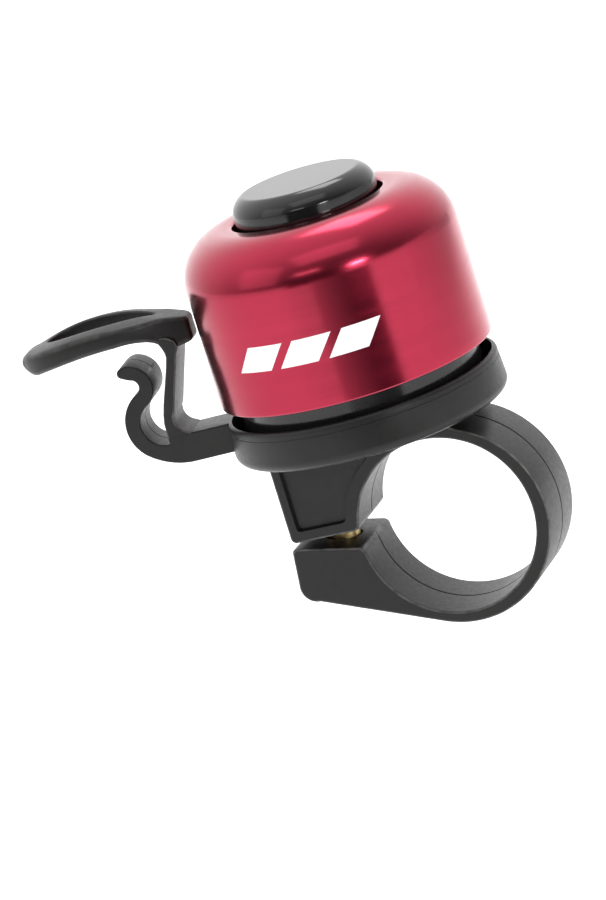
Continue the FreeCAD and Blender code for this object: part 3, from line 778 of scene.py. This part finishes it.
def height_at(run, x):
    """Height of a run of points, sorted by rising x, at x."""
    if x <= run[0].x:
        return run[0].y
    for a, b in zip(run, run[1:]):
        if x <= b.x:
            return a.y + (b.y - a.y) * (x - a.x) / max(1e-9, b.x - a.x)
    return run[-1].y


def both_sides(half, count=110):
    """Closed run round the lever, from the half of its outline that is drawn on the +X and +Y side."""
    run = along(half, count)
    return [Vector((-p.x, -p.y)) for p in run] + [Vector((-p.x, p.y)) for p in reversed(run[1:-1])]


def lever_outlines():
    """The lever from above: its outside and its eye, from the tip to the striker."""
    widest, neck = (32.0, 5.8), (22.4, 2.95)
    outside = vectors((40.3, 0.0), (40.28, 0.55), (40.1, 1.35), (39.5, 2.1))
    outside += arc((39.5, 2.1), widest, 8.6, 1, 0.3) + arc(widest, neck, 17.0, 1, 0.3)
    outside += vectors((21.4, 2.52), (20.4, 2.18), (18.6, 1.55), (18.38, 1.42), (18.26, 1.2), (18.24, 0.8),
                       (18.24, 0.0))
    eye_widest, eye_neck = (31.6, 3.25), (24.6, 1.45)
    eye = vectors((36.5, 0.0), (36.45, 0.5), (36.15, 1.1), (35.6, 1.75))
    eye += arc((35.6, 1.75), eye_widest, 5.4, 1, 0.2) + arc(eye_widest, eye_neck, 15.0, 1, 0.2)
    eye += vectors((23.6, 1.0), (22.9, 0.6), (22.5, 0.25), (22.4, 0.0))
    return both_sides(outside), both_sides(eye)


def lever_profile():
    """The lever from the side: its top and its underside, each sorted by rising x."""
    tip_top, striker_top = (-40.3, 31.35), (-18.79, 32.05)
    top = vectors(tip_top) + arc((-38.6, 32.3), tip_top, 2.4, 1, 0.1)[::-1]
    top += arc(striker_top, (-38.6, 32.25), 39.0, 1, 0.4)[::-1] + vectors(striker_top, (-18.2, 32.0))
    bend, belly, curl = (-23.4, 30.25), (-27.2, 30.85), (-37.8, 29.62)
    low = vectors((-18.2, 28.75), (-18.79, 28.75), (-20.05, 28.6), (-21.5, 28.7), (-22.5, 29.75), bend)
    low += arc(bend, belly, 9.0, 1, 0.3) + arc(belly, curl, 34.0, 1, 0.4)
    low += arc(curl, (-40.3, 30.55), 2.4, -1, 0.1)
    return sorted(top, key=lambda p: p.x), sorted(low, key=lambda p: p.x)


def lever_section():
    """Rounded section of the lever's rail, as (side, level, radius, cos, sin, wear) for each point.

    side is 0 at the eye and 1 at the outside, and level 0 below and 1 on top.  radius is that of the
    corner's rounding, with the point's direction from the rounding's centre."""
    steps, edge_mark = 5, 0.3
    section = []

    def fillet(side, level, radius, first):
        for k in range(steps + 1):
            angle = math.radians(first + 90 * k / steps)
            worn = edge_mark * math.sin(math.pi * k / steps)
            section.append((side, level, radius, math.cos(angle), math.sin(angle), worn))

    fillet(0, 0, 0.35, 180)
    fillet(1, 0, 0.65, 270)
    fillet(1, 1, 0.6, 0)
    section.extend((share, 1, 0.0, 0, 0, 0.0) for share in (0.66, 0.36))
    fillet(0, 1, 0.32, 90)
    return section


def build_thumb_lever():
    """Finger loop with rounded rails round an eye, running into the blunt striker."""
    outside, eye = lever_outlines()
    top, low = lever_profile()
    section = lever_section()
    neck, tip = -21.5, -40.0
    raised, drop = 0.16, 0.42  # the top rises beside the eye and falls to the outside, between neck and tip
    verts, weights, faces = [], [], []
    for out_point, in_point in zip(outside, eye):
        wide = (out_point - in_point).length
        tall = height_at(top, out_point.x) - height_at(low, out_point.x)
        for side, level, radius, across, upward, worn in section:
            size = min(radius, 0.42 * wide, 0.45 * max(0.3, tall))
            share, lift = side, 0.0
            if radius:
                share = side + ((1 if side == 0 else -1) * size + size * across) / wide
                lift = (-size if level == 1 else size) + size * upward
            point = in_point.lerp(out_point, share)
            if level == 1:
                slope = raised - drop * max(0.0, share) ** 1.5
                fade = held((neck - point.x) / 3.0) * held((point.x - tip) / 2.5)
                height = height_at(top, point.x) + slope * fade
            else:
                height = height_at(low, point.x)
            verts.append((point.x, point.y, height + lift))
            weights.append(worn)
    total, ring = len(outside), len(section)
    for i in range(total):
        j = (i + 1) % total
        for k in range(ring):
            m = (k + 1) % ring
            faces.append([i * ring + k, j * ring + k, j * ring + m, i * ring + m])
    piece = make("thumb_loop", verts, faces, HEAD, weights, sharp=40)
    dress(piece, SATIN, "striker", "satin_black_plastic", "thumb_lever")


# ------------ clamp
def on_band(point):
    """1 on the bore and on the band's outer side, where the groove runs, and 0 on post and block."""
    away = math.hypot(point.x, point.y)
    on_bore = away < BORE_RADIUS + 0.2
    on_outside = away < 13.3 and point.x > -3.5 and point.y < 11.3
    return 1.0 if on_bore or on_outside else 0.0


def clamp_blank():
    """Post, band and block in one outline, with the gap that the screw closes."""
    gap_top, post_top, post_side, foot_round = 1.65, 13.05, -19.93, 0.7
    run = outline([
        (-10.977, gap_top, BORE_RADIUS, -1),
        (11.099, -0.17, BORE_RADIUS, -1),
        (-11.085, -0.58),
        (-20.2, 1.05),
        (-20.72, -3.9, 2.1, 1),
        (-18.6, -6.22),
        (-3.933, -11.791, BAND_RADIUS, 1),
        (12.91, -0.17, BAND_RADIUS, 1),
        (4.6, 11.558),
        (2.4, post_top),
        (post_side, post_top),
        (post_side, gap_top + foot_round, foot_round, 1),
        (post_side + foot_round, gap_top),
    ], 0.35)
    run, wear = soften(run, 0.65)
    slices = with_groove(edge_slices(CLAMP_HALF, 0.28), at=0.33, half=0.17, depth=0.22)
    return slab("clamp_body", run, slices, wear, on_band)


def panel_tool():
    """Cuts the sunk panel with sloping sides into the post's near face."""
    left, low, high = -18.95, 2.85, 12.0
    depth, above = 0.7, 0.6
    taper, middle = 0.93, (-13.6, 7.6)
    panel = outline([
        (left, low),
        (-12.3, low, 12.64, -1),
        (-4.0, high),
        (left, high),
    ], 0.4)
    panel = soften(panel, 0.6)[0]
    return prism(panel, -CLAMP_HALF - above, -CLAMP_HALF + depth, "Y", taper, middle)


def boss():
    """Round seat on the post that the head turns on."""
    profile = vectors((SCREW_HOLE, 12.6), (5.55, 12.6), (5.9, 12.9), (5.9, 14.3), (5.7, 14.5),
                      (SCREW_HOLE, 14.5))
    return lathe("boss", profile, place=BELL_AXIS, steps=96)


def oval(radius):
    """Circle about the clamp screw, drawn out away from the band, so that the block can swing."""
    swing = 0.35
    return [p + Vector((-swing if p.x < SCREW_X else 0.0, 0.0)) for p in ring_of(radius, SCREW_X)]


def build_clamp():
    """The clamp is one moulding: post, band and the block that the screw draws up."""
    pocket = 3.6  # from a nut pocket's middle to its flats
    corner = pocket / math.cos(math.pi / 6)
    far_side, near_side, point, nut_play = 6.5, -2.08, -4.157, 0.2
    nut_seat = ring_of(corner, BELL_X, 6, math.pi / 6)
    nut_way = vectors((SCREW_X + pocket, far_side), (SCREW_X - pocket, far_side),
                      (SCREW_X - pocket, near_side), (SCREW_X, point), (SCREW_X + pocket, near_side))
    way_low, way_high = PINCH_NUT_LOW - nut_play, PINCH_NUT_LOW + NUT_TALL + nut_play
    clamp = clamp_blank()
    combine(clamp, panel_tool(), "DIFFERENCE")
    combine(clamp, boss(), "UNION")
    holes = (
        (nut_seat, BELL_NUT_LOW, 15.0),
        (ring_of(SCREW_HOLE, SCREW_X), 1.0, 10.9),
        (nut_way, way_low, way_high),
        (oval(2.25), -6.0, 2.0),
        (oval(4.3), -12.5, -4.2),
    )
    for shape, low, high in holes:
        combine(clamp, prism(shape, low, high), "DIFFERENCE")
    dress(clamp, SATIN, None, "satin_black_plastic", "clamp_post", "clamp_jaw")
    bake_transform(clamp)


# ------------ screws, nuts and washers
def pan_head(x, seat, up):
    """Solid pan head that stands on its seat, upwards (1) or downwards (-1)."""
    profile = ((0.0, 0.0), (3.25, 0.0), (3.5, 0.3), (3.5, 1.7), (3.3, 2.15), (2.9, 2.4), (2.2, 2.55),
               (1.2, 2.6), (0.0, 2.6))
    off_facets = 0.03  # radians, so that no edge of the head lies on one of the shank
    place = Matrix.Translation((x, 0, 0)) @ Matrix.Rotation(off_facets, 4, "Z")
    return lathe("pan_head", [Vector((r, seat + up * z)) for r, z in profile], steps=72, place=place)


def slot_tool(x, bottom, up):
    """Cuts the screwdriver slot, from its bottom out through the head."""
    long, deep = 4.5, 3.0
    near, far = 0.47, 0.49  # half widths, unequal so that the slot's sides miss the head's facets
    box = vectors((x - long, -near), (x + long, -far), (x + long, far), (x - long, near))
    return prism(box, min(bottom, bottom + up * deep), max(bottom, bottom + up * deep))


def threaded(name, x, low, high, seat, thread, head_up, material, slot, node, body):
    """Slotted pan-head M4 screw with a helical thread on the stretch before its tip.

    seat is the height of the head's flat underside and thread the length of shank up to the thread's end."""
    around, per_turn = 48, 8
    depth, run_out, chamfer, slot_floor = 0.38, 0.35, 0.2, 1.4
    up = 1 if head_up else -1
    tip = low if head_up else high
    thread_low, thread_high = (low + chamfer, low + thread) if head_up else (high - thread, high - chamfer)
    rows = int((thread_high - thread_low) / PITCH * per_turn)
    heights = [low] if head_up else [low, thread_low - 0.1]
    heights += [thread_low + (thread_high - thread_low) * k / rows for k in range(rows + 1)]
    heights += [thread_high + 0.1, high] if head_up else [high]
    verts, faces = [], []
    for z in heights:
        full = held((z - thread_low) / run_out) * held((thread_high - z) / run_out)
        plain = SHANK_RADIUS - chamfer if z == tip else SHANK_RADIUS
        for k in range(around):
            angle = math.tau * k / around
            phase = (z / PITCH - k / around) % 1.0
            radius = plain - depth * full * (1 - abs(2 * phase - 1))
            verts.append((x + radius * math.cos(angle), radius * math.sin(angle), z))
    for r in range(len(heights) - 1):
        for k in range(around):
            m = (k + 1) % around
            faces.append([r * around + k, r * around + m, (r + 1) * around + m, (r + 1) * around + k])
    faces += [list(range(around)), list(range((len(heights) - 1) * around, len(heights) * around))]
    screw = make(name, verts, faces, sharp=50)
    combine(screw, pan_head(x, seat, up), "UNION", 40)
    combine(screw, slot_tool(x, seat + up * slot_floor, up), "DIFFERENCE", 40)
    return dress(screw, material, body, slot, node)


def hex_nut(name, x, z, material, slot, node, body):
    """Chamfered M4 nut with a countersunk bore."""
    around = 72
    bore, sink = 2.03, 2.3
    chamfer = ((0.0, 3.45), (0.3, 3.9), (0.6, 4.3))  # depth from the face, and the radius that it cuts to
    rings = [("bore", NUT_TALL - 0.2, bore), ("bore", 0.2, bore), ("bore", 0.0, sink)]
    rings += [("hex", depth, limit) for depth, limit in chamfer]
    rings += [("hex", NUT_TALL - depth, limit) for depth, limit in chamfer[::-1]]
    rings.append(("bore", NUT_TALL, sink))
    verts, faces = [], []
    for kind, level, limit in rings:
        for k in range(around):
            angle = math.tau * k / around
            near = (angle + math.pi / 6) % (math.pi / 3) - math.pi / 6
            radius = limit if kind == "bore" else min(limit, NUT_HALF / math.cos(near))
            verts.append((x + radius * math.cos(angle), radius * math.sin(angle), z + level))
    for r in range(len(rings)):
        for k in range(around):
            m, s = (k + 1) % around, (r + 1) % len(rings)
            faces.append([r * around + k, r * around + m, s * around + m, s * around + k])
    return dress(make(name, verts, faces, sharp=28), material, body, slot, node)


def flat_washer(name, radius, bore, thick, low, place, material, slot, node, body):
    """Flat washer with rounded edges."""
    profile = outline([(bore, low), (radius, low), (radius, low + thick), (bore, low + thick)])
    profile, wear = soften(profile, 0.14)
    return dress(lathe(name, profile, wear, 96, place), material, body, slot, node)


def build_washers():
    """Washer in the dome's well and washer under the clamp screw's head."""
    flat_washer("well_washer", 6.0, 2.2, 1.0, WELL_FLOOR, HEAD, ZINC, "zinc_steel", "dome_washer", "head")
    flat_washer("screw_washer", 4.0, 2.25, 0.5, -4.76, SCREW_AXIS, YELLOW_ZINC,
                "yellow_zinc_steel", "clamp_washer", "washer")


def build_screws():
    """Screw that holds the bell together and screw that closes the clamp, each with its nut."""
    threaded("bell_screw", BELL_X, 11.06, 40.3, 39.74, 7.0, True, ZINC,
             "zinc_steel", "dome_screw", "clamp")
    threaded("pinch_screw", SCREW_X, -5.3, 10.4, -4.8, 9.5, False, YELLOW_ZINC,
             "yellow_zinc_steel", "clamp_screw", "screw")
    hex_nut("bell_nut", BELL_X, BELL_NUT_LOW, ZINC, "zinc_steel", "dome_nut", "clamp")
    hex_nut("pinch_nut", SCREW_X, PINCH_NUT_LOW, YELLOW_ZINC, "yellow_zinc_steel", "clamp_nut", "clamp")


def build_bush():
    """Rubber bush between the column and the dome, so that the dome can ring."""
    bore, flange_top = 2.2, COLUMN_TOP + 0.6
    profile = outline([
        (bore, COLUMN_TOP),
        (COLUMN_RADIUS, COLUMN_TOP),
        (COLUMN_RADIUS, flange_top),
        (BUSH_NECK, flange_top),
        (BUSH_NECK, WELL_FLOOR),
        (bore, WELL_FLOOR),
    ])
    profile, wear = soften(profile, 0.12)
    dress(lathe("well_bush", profile, wear, 96), RUBBER, "head", "bush_rubber", "dome_bush")


# ------------ studio
CAMERA_TURN = 21  # degrees from the frame's -Y axis to the camera, seen from the bell


def build_floor(under):
    """Pale floor under the bell, lit a little from itself so that it stays white."""
    drop, half, steps = 0.030, 2.5, 24
    floor_z = under - drop
    verts, faces = [], []
    for i in range(steps + 1):
        for j in range(steps + 1):
            x, y = [(share / steps - 0.5) * 2 * half * 1000 for share in (i, j)]
            verts.append((x, y, floor_z * 1000))
    for i in range(steps):
        for j in range(steps):
            a = i * (steps + 1) + j
            faces.append([a, a + steps + 1, a + steps + 2, a + 1])
    floor = make("studio_floor", verts, faces)
    look = Nodes("pale_floor")
    speck = look.noise(35.0, 3.0)
    tone = look.mix(look.stretch(speck), (0.86, 0.86, 0.86, 1), (0.90, 0.90, 0.90, 1))
    floor.data.materials.append(look.set(Base_Color=tone, Roughness=look.stretch(speck, 0.85, 0.95),
                                         Emission_Color=(1, 1, 1, 1), Emission_Strength=0.4))


def build_sky():
    """White surroundings, brighter above and behind the bell than on the camera's side."""
    azimuth = math.radians(CAMERA_TURN + 8)
    level, upward = 0.68, 0.73
    brightest = (-level * math.sin(azimuth), level * math.cos(azimuth), upward)
    world = bpy.data.worlds.new("studio")
    bpy.context.scene.world = world
    world.use_nodes = True
    tree = world.node_tree
    sky = tree.nodes["Background"]
    sky.inputs["Color"].default_value = (1, 1, 1, 1)
    way = tree.nodes.new("ShaderNodeTexCoord")
    towards = tree.nodes.new("ShaderNodeVectorMath")
    towards.operation = "DOT_PRODUCT"
    towards.inputs[1].default_value = brightest
    glow = tree.nodes.new("ShaderNodeMapRange")
    glow.interpolation_type = "SMOOTHSTEP"
    for key, value in (("From Min", -0.52), ("From Max", 0.9), ("To Min", 0.20), ("To Max", 1.55)):
        glow.inputs[key].default_value = value
    tree.links.new(way.outputs["Generated"], towards.inputs[0])
    tree.links.new(towards.outputs["Value"], glow.inputs["Value"])
    tree.links.new(glow.outputs["Result"], sky.inputs["Strength"])


def aim(thing, middle, turn, elevation, distance, front):
    """Put a thing beside the bell, turned from the camera's side, with its front axis towards the bell."""
    around, up = math.radians(CAMERA_TURN + turn), math.radians(elevation)
    way = Vector((math.sin(around) * math.cos(up), -math.cos(around) * math.cos(up), math.sin(up)))
    thing.location = middle + distance * way
    thing.rotation_euler = (middle - thing.location).to_track_quat(front, "Y").to_euler()


def softbox(name, middle, turn, elevation, distance, wide, tall, power):
    """A soft light that faces the bell."""
    light = bpy.data.lights.new(name, "AREA")
    light.shape = "RECTANGLE"
    light.size, light.size_y, light.energy = wide, tall, power
    lamp = bpy.data.objects.new(name, light)
    aim(lamp, middle, turn, elevation, distance, "-Z")
    lamp.visible_camera = False
    bpy.context.scene.collection.objects.link(lamp)


def flag(name, middle, turn, elevation, distance, wide, tall, left, right):
    """A card that only reflections see, as a photographer uses to shape a gloss.

    left and right are its grey at either end, as seen in the render."""
    shares = (-0.5, 0, 0.5)
    points = [(x * wide * 1000, y * tall * 1000, 0) for x in shares for y in shares]
    faces = [[3 * i + j, 3 * i + j + 3, 3 * i + j + 4, 3 * i + j + 1] for i in (0, 1) for j in (0, 1)]
    card = make(name, points, faces)
    aim(card, middle, turn, elevation, distance, "Z")
    card.visible_camera = card.visible_diffuse = card.visible_shadow = False
    look = Nodes(name)
    weave = look.noise(90.0, 3.0)
    split = look.add("ShaderNodeSeparateXYZ")
    look.put(split.inputs[0], look.place)
    across = look.math("ADD", split.outputs["X"], look.math("MULTIPLY", weave, wide * 0.05))
    tone = look.spread(across, -0.1 * wide, 0.5 * wide, right, left)
    card.data.materials.append(look.set(Base_Color=look.mix(tone, (0, 0, 0, 1), (1, 1, 1, 1)),
                                        Roughness=look.stretch(weave, 0.8, 0.95)))


def build_lights(middle):
    """Softboxes, and the cards that shape the reflections in the dome and the cup."""
    # turn and elevation in degrees; distance, width and height in metres; power in watts
    softbox("key", middle, 25, 7, 0.60, 0.12, 0.05, 0.6)
    softbox("strip", middle, -16, 19, 0.60, 0.20, 0.03, 0.10)
    softbox("over", middle, 148, 66, 0.60, 0.27, 0.24, 1.15)
    softbox("front_top", middle, 5, 50, 0.60, 0.50, 0.26, 0.35)
    softbox("fill", middle, -60, 25, 0.8, 0.5, 0.5, 0.5)
    # the same up to the height, then the grey on the left and on the right
    flag("flag_camera", middle, -10, 2, 0.40, 0.37, 0.11, 0.02, 0.02)
    flag("flag_low", middle, 10.5, -12, 0.16, 0.136, 0.07, 0.5, 0.015)
    flag("card_right", middle, 100, -10, 0.35, 0.46, 0.16, 0.85, 0.5)


def build_camera():
    """The photo's camera: its place, and the directions that are right and down in its picture."""
    place = (0.222495, -0.622211, 0.171477)
    right = Vector((0.91586901, 0.2782597, -0.28940542))
    down = Vector((-0.1977417, -0.31470033, -0.92836519))
    data = bpy.data.cameras.new("camera")
    data.lens, data.sensor_width, data.sensor_fit = 223.75, 36.0, "AUTO"
    data.clip_start, data.clip_end = 0.01, 20.0
    camera = bpy.data.objects.new("camera", data)
    axes = Matrix((right, -down, -right.cross(down))).transposed()
    camera.matrix_world = Matrix.Translation(place) @ axes.to_4x4()
    bpy.context.scene.collection.objects.link(camera)
    bpy.context.scene.camera = camera
    bpy.context.scene.view_settings.view_transform = "Standard"


def build_studio():
    """Floor, surroundings, lights and camera, set up round the bell's box."""
    low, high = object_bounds()
    build_floor(low[2])
    build_sky()
    build_lights(Vector([(a + b) / 2 for a, b in zip(low, high)]))
    build_camera()


build_dome()
build_print()
build_cap()
build_cup()
build_lever_ring()
build_leaf()
build_thumb_lever()
build_clamp()
build_washers()
build_screws()
build_bush()
build_studio()
